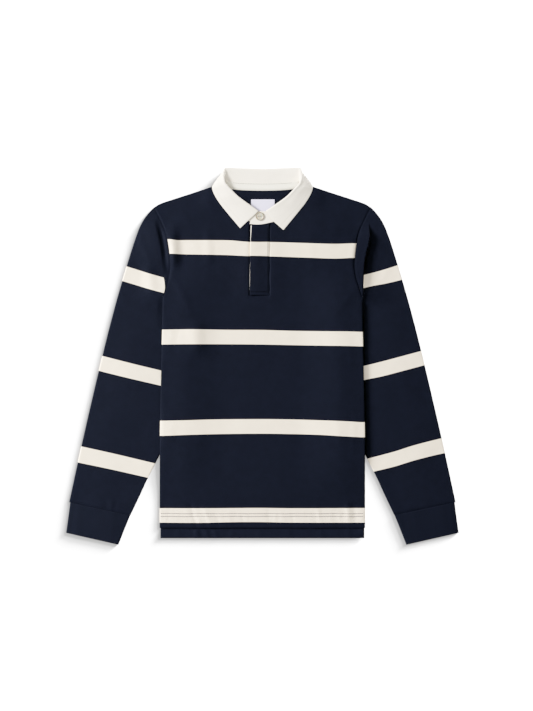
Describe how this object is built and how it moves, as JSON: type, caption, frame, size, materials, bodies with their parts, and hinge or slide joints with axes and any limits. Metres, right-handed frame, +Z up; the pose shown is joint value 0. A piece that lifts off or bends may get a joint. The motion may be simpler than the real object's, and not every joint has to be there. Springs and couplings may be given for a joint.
{
  "type": "rugby shirt",
  "caption": "Long-sleeved striped rugby shirt with a twill collar and buttoned placket, laid flat, front up.",
  "frame": {"origin": "centre of the outline, on the surface the shirt lies on", "axes": "+X across the shirt to the wearer's left sleeve, +Y up the shirt towards the collar, +Z up off the surface, out of the shirt's front"},
  "size_m": [0.8168, 0.7839, 0.0221],
  "materials": {
    "jersey": "navy heavyweight cotton jersey with knitted-in off-white stripes, matt",
    "rib": "navy cotton jersey cuff, doubled, matt",
    "twill": "off-white brushed cotton twill, matt",
    "tape": "off-white cotton tape, matt",
    "label": "bare woven satin label, lilac white",
    "button": "cream moulded two-hole button with a raised rim"
  },
  "bodies": {
    "root": {"front_panel": "jersey", "back_panel": "jersey", "under_placket": "jersey", "placket": "jersey", "placket_facing": "twill", "sleeve_left": "jersey", "sleeve_right": "jersey", "cuff_left": "rib", "cuff_right": "rib", "collar_fall": "twill", "collar_stand": "twill", "neck_tape": "tape", "neck_label": "label", "collar_button": "button"}
  },
  "joints": []
}
